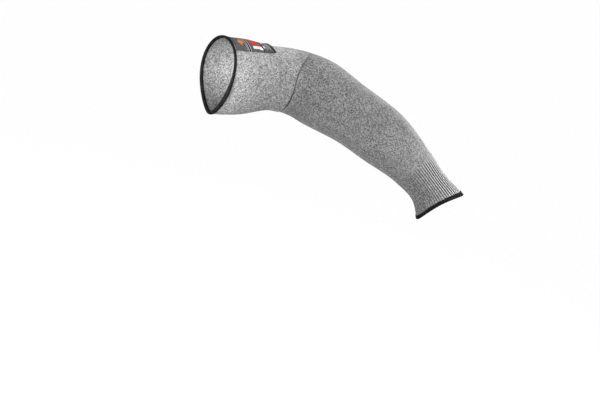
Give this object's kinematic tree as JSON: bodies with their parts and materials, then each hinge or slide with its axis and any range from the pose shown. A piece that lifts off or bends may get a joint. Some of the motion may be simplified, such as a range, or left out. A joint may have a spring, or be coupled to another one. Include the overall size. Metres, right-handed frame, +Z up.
{
  "type": "cut resistant sleeve",
  "caption": "Tubular knitted arm guard, filled out as an arm fills it and bent at the elbow, with a ribbed wrist, overlocked edges and a label.",
  "frame": {"origin": "centre of the mouth that the upper arm goes in by, in the plane of the knit's cut edge", "axes": "+Z up as worn with the upper arm nearly level, +X level from the mouth into the sleeve, and the forearm drops and turns towards -Y"},
  "size_m": [0.3926, 0.1923, 0.3018],
  "materials": {
    "melange_knit": "matte",
    "black_thread": "matte",
    "dark_satin": "satin"
  },
  "bodies": {
    "root": {"knit_sleeve": "melange_knit", "mouth_edge": "black_thread", "wrist_edge": "black_thread", "label": "dark_satin"}
  },
  "joints": []
}
